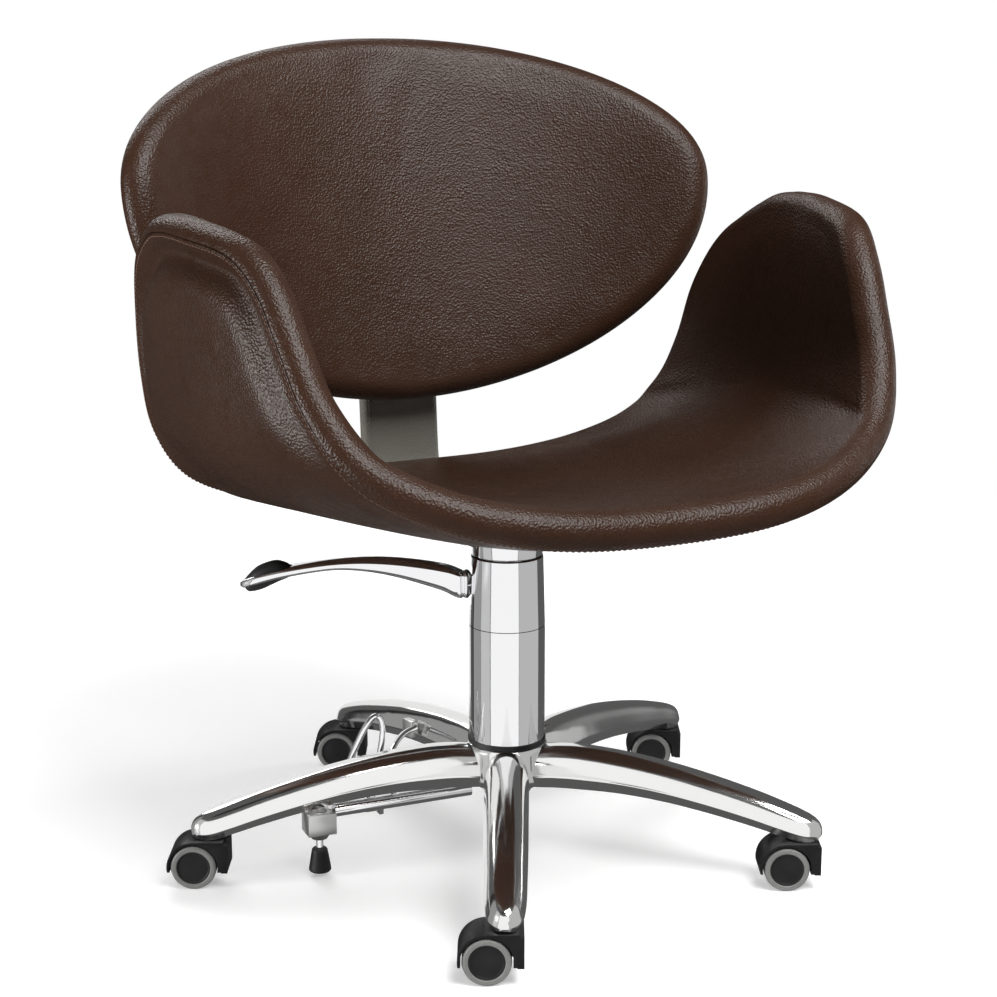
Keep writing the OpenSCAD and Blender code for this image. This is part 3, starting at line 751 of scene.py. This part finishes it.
def back_rings(turns=128):
    """Rings from the back's outline to its middle, evenly spaced round, and their depths."""
    t = np.linspace(0, 2 * math.pi, turns, endpoint=False)
    up = np.cos(t) > 0
    n = np.where(up, 2 / UPPER_FULLNESS, 1.0)
    a = BACK_WIDE * signed_power(np.sin(t), n)
    b = np.where(up, BACK_HIGH, BACK_LOW) * signed_power(np.cos(t), n)
    edge = np.stack([a, b], -1)
    closed = np.vstack([edge, edge[:1]])
    step = np.concatenate([[0], np.cumsum(np.linalg.norm(np.diff(closed, axis=0), axis=1))])
    where = np.linspace(0, step[-1], turns, endpoint=False)
    edge = np.stack([np.interp(where, step, closed[:, k]) for k in range(2)], -1)
    ahead = np.roll(edge, -1, axis=0) - np.roll(edge, 1, axis=0)
    inward = unit(np.stack([ahead[:, 1], -ahead[:, 0]], -1))
    inward = np.where(np.sum(inward * -edge, -1, keepdims=True) < 0, -inward, inward)
    rims = [edge + inward * e for e in RIM]
    steps = [rims[-1] * (INNER_RINGS - k) / 10 for k in range(INNER_RINGS)]
    deeper = [RIM[-1] + 20 * (k + 1) for k in range(INNER_RINGS)]
    return np.array(rims + steps), np.array(RIM + deeper)


def closed_middle(count, turns, centre):
    """Triangles from the innermost ring to the centre point."""
    first = count - turns
    return [(first + k, first + (k + 1) % turns, centre) for k in range(turns)]


def back_meshes():
    """The back's front cover, which wraps the edge as far as the seam, and its rear panel."""
    flat, depth = back_rings()
    points = back_surface(flat[..., 0], flat[..., 1])
    normals = back_normals(flat[..., 0])
    rings, turns = flat.shape[:2]
    front_h = round_over(depth, BACK_HALF)
    rear_h = front_h - 2.4 * gauss(depth, RIM[SEAM_RING], 0.9)
    front = points + normals * front_h[:, None, None]
    rear = points - normals * rear_h[:, None, None]
    middle = back_surface(np.zeros(1), np.zeros(1))
    forward = back_normals(np.zeros(1)) * BACK_HALF
    both = [front.reshape(-1, 3), rear.reshape(-1, 3), middle + forward]
    count = rings * turns
    faces = ring_faces(turns, 0, rings - 1)
    faces += closed_middle(count, turns, 2 * count)
    faces += ring_faces(turns, 0, SEAM_RING, count)
    cover = mesh_object("back_cover", np.concatenate(both) * MM, faces)
    drop_loose(cover)
    tuck = np.where(np.arange(rings) <= SEAM_RING, TUCK, 0.0)
    tucked = rear + normals * tuck[:, None, None]
    faces = ring_faces(turns, SEAM_RING, rings - 1)
    faces += closed_middle(count, turns, count)
    behind = [tucked.reshape(-1, 3), middle - forward]
    panel = mesh_object("back_rear_panel", np.concatenate(behind) * MM, faces)
    drop_loose(panel)
    return cover, panel, rear[STITCH_RING], points[STITCH_RING]


def ring_faces(turns, first, last, offset=0):
    """Quads between closed rings of points, from the first ring to the last."""
    faces = []
    for i in range(first, last):
        for k in range(turns):
            a = offset + i * turns + k
            b = offset + i * turns + (k + 1) % turns
            faces.append((a, b, b + turns, a + turns))
    return faces


def add_stitches(name, loop, below, material, body, pitch=6.2, length=4.2, radius=0.55):
    """A row of stitches round a seam, standing away from the surface below it."""
    spots, ways = along_loop(loop, pitch)
    near, _ = nearest_on(np.vstack([below, below[:1]]), spots)
    ups = unit(spots - near)
    ups = unit(ups - ways * np.sum(ups * ways, -1, keepdims=True))
    o = stitch_mesh(name, spots * MM, ways, ups, length * MM, radius * MM)
    o.data.materials.append(material)
    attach(o, body)


# ---------------------------------------------------------------- padding

# Cloth settings, the frames it runs for, the furthest that it may move a point, and the distance
# from the seam within which it is held back, both in metres
CLOTH = {
    "quality": 4, "mass": 0.4, "tension_stiffness": 40, "compression_stiffness": 40,
    "shear_stiffness": 20, "bending_stiffness": 8, "use_pressure": True,
    "uniform_pressure_force": 4, "vertex_group_mass": "held",
}
CLOTH_FRAMES = 20
SWELL_CAP = 0.003
FIRM_ROLL = 0.05


def puff(o):
    """Swells a cover with cloth simulation, holding its seam and leaving the rolled edge firm."""
    rest = read_points(o.data)
    work = bmesh.new()
    work.from_mesh(o.data)
    held = [p.index for p in work.verts if p.is_boundary]
    work.free()
    seam = KDTree(len(held))
    for index in held:
        seam.insert(rest[index], index)
    seam.balance()
    soft = np.array([min(1.0, seam.find(p)[2] / FIRM_ROLL) for p in rest])[:, None] ** 2
    pins = o.vertex_groups.new(name="held")
    pins.add(held, 1.0, "REPLACE")
    cloth = o.modifiers.new("cloth", "CLOTH")
    for key, value in CLOTH.items():
        setattr(cloth.settings, key, value)
    cloth.settings.effector_weights.gravity = 0
    scene = bpy.context.scene
    for f in range(1, CLOTH_FRAMES + 1):
        scene.frame_set(f)
    moved = read_points(o.evaluated_get(bpy.context.evaluated_depsgraph_get()).data)
    o.modifiers.remove(cloth)
    o.vertex_groups.clear()
    scene.frame_set(1)
    shift = moved - rest
    far = np.linalg.norm(shift, axis=1, keepdims=True)
    shift *= soft * np.minimum(1, SWELL_CAP / np.maximum(far, 1e-9))
    o.data.vertices.foreach_set("co", (rest + shift).ravel())
    o.data.update()


def dress_cushion(cover, panel, mats):
    """Swells one cushion's cover and panel, and gives them their leather."""
    puff(cover)
    puff(panel)
    for o, key in ((cover, "leather"), (panel, "panel")):
        o.data.materials.append(mats[key])
        subdivide(o)
        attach(o, "seat")


def make_seat(mats):
    cover, panel, seam, below = seat_meshes()
    dress_cushion(cover, panel, mats)
    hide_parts("seat_pad")
    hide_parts("seat_outer_panel")
    add_stitches("seat_stitches", seam, below, mats["thread"], "seat")


def make_back(mats):
    cover, panel, seam, below = back_meshes()
    dress_cushion(cover, panel, mats)
    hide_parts("back_pad")
    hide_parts("back_panel")
    add_stitches("back_stitches", seam, below, mats["thread"], "seat")


# ---------------------------------------------------------------- carried-over CAD nodes


def dress(node, material, bevel=0.0):
    """Gives a CAD node its material, smooth shading across its facets and soft edges."""
    o = frame["nodes"][node]
    o.data.materials.clear()
    o.data.materials.append(material)
    normal = o.data.attributes.get("custom_normal")
    if normal:
        o.data.attributes.remove(normal)
    for face in o.data.polygons:
        face.use_smooth = True
    weld = o.modifiers.new("weld", "WELD")
    weld.merge_threshold = 0.00002
    if bevel:
        m = o.modifiers.new("edge", "BEVEL")
        m.width = bevel
        m.segments = 2
        m.limit_method = "ANGLE"
        m.angle_limit = math.radians(40)
    split_edges(o, 32)


# How far each kind of CAD node's hard edges are rounded, in metres
BEVELS = {"hood": 0.0009, "brake_housing": 0.0012, "brake_lug": 0.001, "back_bracket": 0.0006}


# Each CAD node's material, by the first word of its name or by its whole name
BY_FIRST_WORD = {
    "hood": "nylon", "axle": "steel", "wheel": "hub", "tyre": "tyre", "star": "aluminium",
    "lower": "chrome", "upper": "chrome", "base": "rubber",
}
BY_NAME = {
    "pump_cylinder": "satin", "pump_piston": "chrome", "pump_head": "dark",
    "pump_lever": "chrome", "lever_grip": "rubber", "lever_pin": "steel",
    "seat_plate": "dark", "seat_bolts": "steel", "seat_core": "ply", "back_board": "ply",
    "seat_pad": "leather", "seat_outer_panel": "panel", "back_pad": "leather",
    "back_panel": "panel", "back_bracket": "dark", "bracket_sleeve": "grey",
    "bracket_screws": "steel", "brake_bar": "chrome", "brake_lug": "satin",
    "brake_housing": "satin", "brake_plunger": "chrome", "brake_foot": "rubber",
    "brake_pedal": "chrome", "brake_spring": "steel", "brake_pin": "steel",
    "caster_stems": "steel",
}


def dress_all(mats):
    for node in frame["nodes"]:
        start = node.split("_")[0]
        key = BY_NAME.get(node) or BY_FIRST_WORD.get(start, "steel")
        dress(node, mats[key], BEVELS.get(start, BEVELS.get(node, 0.0)))


# ---------------------------------------------------------------- castings, lever and sleeve

# The base's arm: distance from the column, top, underside and half width there, in millimetres
ARM_ALONG = [36, 48, 64, 90, 137, 187, 236, 285, 320, 343, 354, 360, 363]
ARM_TOP = [129, 130.4, 132.5, 133.5, 130.5, 124, 114.5, 102.5, 92, 84, 79, 74, 68]
ARM_BOTTOM = [84, 85, 86.5, 87.5, 88, 84.5, 77.5, 68, 60, 55, 55, 56.5, 60]
ARM_HALF = [25, 25.5, 25.5, 25, 24.5, 24, 23.5, 22.5, 21.5, 19, 14.5, 9, 3]
# Half of the arm's section: across as a share of the half width, up as a share of the height
ARM_SHAPE = [
    (0, 1), (0.34, 0.97), (0.62, 0.87), (0.82, 0.7), (0.94, 0.48), (1, 0.33), (0.97, 0.24),
    (0.86, 0.1), (0.78, 0),
]
BASE_RADIUS = 341.0
BASE_TURN = -116.5
LEVER_ANGLE = 154.0
# The lever: distance from the column, top, underside and half width there, in millimetres
LEVER_ALONG = [31, 37, 41, 43.5, 46.5, 49, 51.3, 55, 62, 70, 87, 120, 154, 188, 221, 255, 280, 294, 299]
LEVER_TOP = [
    318, 320, 326.5, 329.5, 330, 329, 330, 331.5, 334.5, 336.5, 339.5, 343, 344, 342, 338, 332.5, 326,
    319.5, 316,
]
LEVER_LOW = [
    308, 306, 301.5, 298.5, 298, 299, 298, 298.5, 301.5, 306, 312, 322, 329, 331.5, 328, 321.5, 314.5,
    310.5, 311.5,
]
LEVER_HALF = [
    6, 7.2, 7.6, 10, 11.2, 8.8, 11.2, 12.2, 13, 13.5, 14, 14, 14, 14, 15, 16.5, 15, 9.5, 3,
]
# The rubber cushion round the lever's end: place along it, rise above it, drop below it, half width
CUSHION = [
    (240, 0.2, 0.6, 2.5), (243, 1.6, 1.4, 5), (246, 3.8, 2.2, 7.6), (250.5, 6.2, 3.2, 9.6),
    (257.5, 9, 4.5, 11.5), (265, 9.9, 6, 12.3), (274, 9, 7.6, 12.3), (283, 6.7, 7.6, 11),
    (290, 3, 6, 8), (294, 0.3, 1.5, 3),
]


def curve_through(values, count):
    """A smooth resampling of a row of numbers or points."""
    rows = np.array(values, float).reshape(len(values), -1)
    padded = np.vstack([2 * rows[0] - rows[1], rows, 2 * rows[-1] - rows[-2]])
    u = np.linspace(0, len(rows) - 1, count)
    i = np.clip(np.floor(u).astype(int), 0, len(rows) - 2)
    t = (u - i)[:, None]
    p0, p1, p2, p3 = padded[i], padded[i + 1], padded[i + 2], padded[i + 3]
    return 0.5 * (
        2 * p1 + (p2 - p0) * t + (2 * p0 - 5 * p1 + 4 * p2 - p3) * t**2
        + (3 * p1 - p0 - 3 * p2 + p3) * t**3
    )


def loft(name, rings, turn=0.0):
    """Closed rings of points, in millimetres, joined one to the next and turned about the column."""
    rings = np.array(rings, float)
    count, sides = rings.shape[:2]
    c, s = math.cos(math.radians(turn)), math.sin(math.radians(turn))
    spin = np.array([[c, -s, 0], [s, c, 0], [0, 0, 1]])
    points = rings.reshape(-1, 3) @ spin.T * MM
    faces = ring_faces(sides, 0, count - 1)
    faces.append(tuple(range(sides)))
    faces.append(tuple(range((count - 1) * sides, count * sides)))
    o = mesh_object(name, points, faces)
    face_outwards(o)
    return o


def joined(name, objects):
    """One mesh from several objects that need no parent."""
    work = bmesh.new()
    for o in objects:
        work.from_mesh(o.data)
    data = bpy.data.meshes.new(name)
    work.to_mesh(data)
    work.free()
    for o in objects:
        bpy.data.objects.remove(o)
    o = bpy.data.objects.new(name, data)
    bpy.context.collection.objects.link(o)
    for face in o.data.polygons:
        face.use_smooth = True
    return o


def arm_rings(count=56, sides=30):
    stations = curve_through(list(zip(ARM_ALONG, ARM_TOP, ARM_BOTTOM, ARM_HALF)), count)
    shape = curve_through(ARM_SHAPE, sides)
    rings = []
    for along, top, bottom, half in stations:
        right = [(along, x * half, bottom + z * (top - bottom)) for x, z in shape]
        left = [(along, -y, z) for along, y, z in right[:0:-1]]
        rings.append(right + left)
    return rings


def turned(name, profile, sides=72):
    """A profile of (radius, height) turned about the column's axis."""
    turn = np.linspace(0, 2 * math.pi, sides, endpoint=False)
    rings = [[(r * math.cos(a), r * math.sin(a), z) for a in turn] for r, z in profile]
    return loft(name, rings)


# Turned profiles of the hub and of each caster's boss, as (radius, height)
HUB = [
    (29, 82), (39, 82), (43, 84.5), (45, 88), (46.4, 96), (46.6, 110), (46.4, 124), (45.4, 128),
    (44, 130), (41, 131), (29, 131),
]
# The bright ring under the seat that hides the top of the column
SKIRT = [
    (33.4, 352), (33.4, 349.5), (33.8, 349.2), (39.2, 349.2), (39.7, 349.6), (39.9, 350.4),
    (40, 366), (33.4, 367),
]
BOSS = [(5, 54.9), (14.6, 54.9), (16, 55.6), (16.4, 57), (16.4, 66), (5, 66)]


BOSS_RADIUS = BASE_RADIUS - 3


def make_base(mats):
    """The cast hub and arms, with a boss over each caster."""
    pieces = [turned("hub", curve_through(HUB, 60))]
    for i in range(5):
        angle = BASE_TURN + 72 * i
        pieces.append(loft(f"arm_{i}", arm_rings(), angle))
        boss = turned(f"boss_{i}", BOSS, 40)
        x = BOSS_RADIUS * MM * math.cos(math.radians(angle))
        y = BOSS_RADIUS * MM * math.sin(math.radians(angle))
        for p in boss.data.vertices:
            p.co += Vector((x, y, 0))
        pieces.append(boss)
    cast = joined("cast_base", pieces)
    split_edges(cast, 50)
    finish_piece(cast, mats["aluminium"], "base", ["star_base"])


def make_skirt(mats):
    skirt = turned("seat_skirt", SKIRT, 96)
    split_edges(skirt, 40)
    finish_piece(skirt, mats["chrome"], "seat")


def finish_piece(o, material, body, nodes=()):
    """Gives a piece its material and the body it moves with, and hides the CAD nodes it stands in for."""
    o.data.materials.append(material)
    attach(o, body)
    if nodes:
        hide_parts(*nodes)


def bar_ring(along, low, top, half, sides=28, round_y=0.55, round_z=0.62):
    """One closed ring across the lever, a rectangle with well rounded corners."""
    middle, tall = (top + low) / 2, (top - low) / 2
    ring = []
    for k in range(sides):
        a = 2 * math.pi * k / sides
        y = half * signed_power(math.cos(a), round_y)
        z = tall * signed_power(math.sin(a), round_z)
        ring.append((along, y, middle + z))
    return ring


def make_lever(mats):
    """The polished blade and the rubber cushion round its end."""
    rows = curve_through(list(zip(LEVER_ALONG, LEVER_LOW, LEVER_TOP, LEVER_HALF)), 130)
    blade = loft("lever_blade", [bar_ring(*row) for row in rows], LEVER_ANGLE)
    finish_piece(blade, mats["chrome"], "lever", ["pump_lever"])
    rings = []
    for along, rise, drop, half in curve_through(CUSHION, 44):
        low = np.interp(along, LEVER_ALONG, LEVER_LOW) - drop
        top = np.interp(along, LEVER_ALONG, LEVER_TOP) + rise
        rings.append(bar_ring(along, low, top, half, round_y=0.8, round_z=0.85))
    cushion = loft("lever_cushion", rings, LEVER_ANGLE)
    finish_piece(cushion, mats["rubber"], "lever", ["lever_grip"])


# The sleeve's middle line as (y, z), its half width and half thickness, and its welt and stitches
SLEEVE_PATH = [(293, 386), (299.5, 410), (304.5, 470), (308.5, 520)]
SLEEVE_HALF, SLEEVE_THICK = 51, 7.9
WELT_AT, STITCHES_AT = 44, 42.2
PATH_POINTS = 90


def sleeve_point(s, across, out):
    """A point on the sleeve: s along the bar, across it in millimetres, and out from its middle."""
    path = curve_through(SLEEVE_PATH, PATH_POINTS)
    at = s * (PATH_POINTS - 1)
    k = min(PATH_POINTS - 2, max(1, int(at)))
    ahead = path[k + 1] - path[k - 1]
    ahead /= np.linalg.norm(ahead)
    y = np.interp(at, np.arange(PATH_POINTS), path[:, 0])
    z = np.interp(at, np.arange(PATH_POINTS), path[:, 1])
    return (across, y - out * ahead[1], z + out * ahead[0])


def sleeve_outline(sides=14):
    """Across the sleeve: (across, out) pairs with rounded edges and a welt near each edge."""
    flat = SLEEVE_HALF - SLEEVE_THICK
    pairs = []
    for sign in (1, -1):
        for x in np.linspace(-flat, flat, 40):
            dip = gauss(abs(x), WELT_AT, 0.7)
            pairs.append((sign * x, sign * (SLEEVE_THICK - 0.9 * dip)))
        for a in np.linspace(90, -90, sides)[1:-1]:
            edge = flat + SLEEVE_THICK * math.cos(math.radians(a))
            pairs.append((sign * edge, sign * SLEEVE_THICK * math.sin(math.radians(a))))
    return pairs


def make_sleeve(mats):
    """The grey sleeve round the bracket, pinched at its ends, with two runs of stitches."""
    pairs = sleeve_outline()
    rings = []
    for s in np.linspace(0, 1, 70):
        squeeze = 1 - 0.12 * gauss(s, 0.955, 0.006) - 0.12 * gauss(s, 0.0, 0.004)
        rings.append([sleeve_point(s, x, out * squeeze) for x, out in pairs])
    sleeve = loft("stitched_sleeve", rings)
    finish_piece(sleeve, mats["grey"], "seat", ["bracket_sleeve"])
    for side in (-1, 1):
        shares = np.linspace(0.02, 0.94, 60)
        line = np.array([sleeve_point(s, side * STITCHES_AT, 8.0) for s in shares])
        add_run(f"sleeve_stitches_{'left' if side > 0 else 'right'}", line, mats["grey_thread"])


def add_run(name, line, material):
    """A straight run of stitches on the sleeve's front."""
    step = np.concatenate([[0], np.cumsum(np.linalg.norm(np.diff(line, axis=0), axis=1))])
    where = np.arange(3, step[-1] - 3, 5.5)
    spots = np.stack([np.interp(where, step, line[:, k]) for k in range(3)], -1)
    ways = unit(np.gradient(spots, axis=0))
    ups = np.tile(unit(np.array([0.0, -1.0, 0.1])), (len(spots), 1))
    ups = unit(ups - ways * np.sum(ups * ways, -1, keepdims=True))
    o = stitch_mesh(name, spots * MM, ways, ups, 3.6 * MM, 0.4 * MM)
    o.data.materials.append(material)
    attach(o, "seat")


def gather_bright(bright, mats):
    """Puts the bright metal pieces in the collection that the cards shine on."""
    shiny = [mats[key] for key in ("chrome", "aluminium", "satin", "steel")]
    for o in bpy.data.objects:
        if o.type == "MESH" and o.data.materials and o.data.materials[0] in shiny:
            bright.objects.link(o)


def main():
    make_camera()
    mats = make_materials()
    bright = bpy.data.collections.new("bright_metal")
    make_studio(bright)
    dress_all(mats)
    make_seat(mats)
    make_back(mats)
    make_base(mats)
    make_skirt(mats)
    make_lever(mats)
    make_sleeve(mats)
    gather_bright(bright, mats)


main()
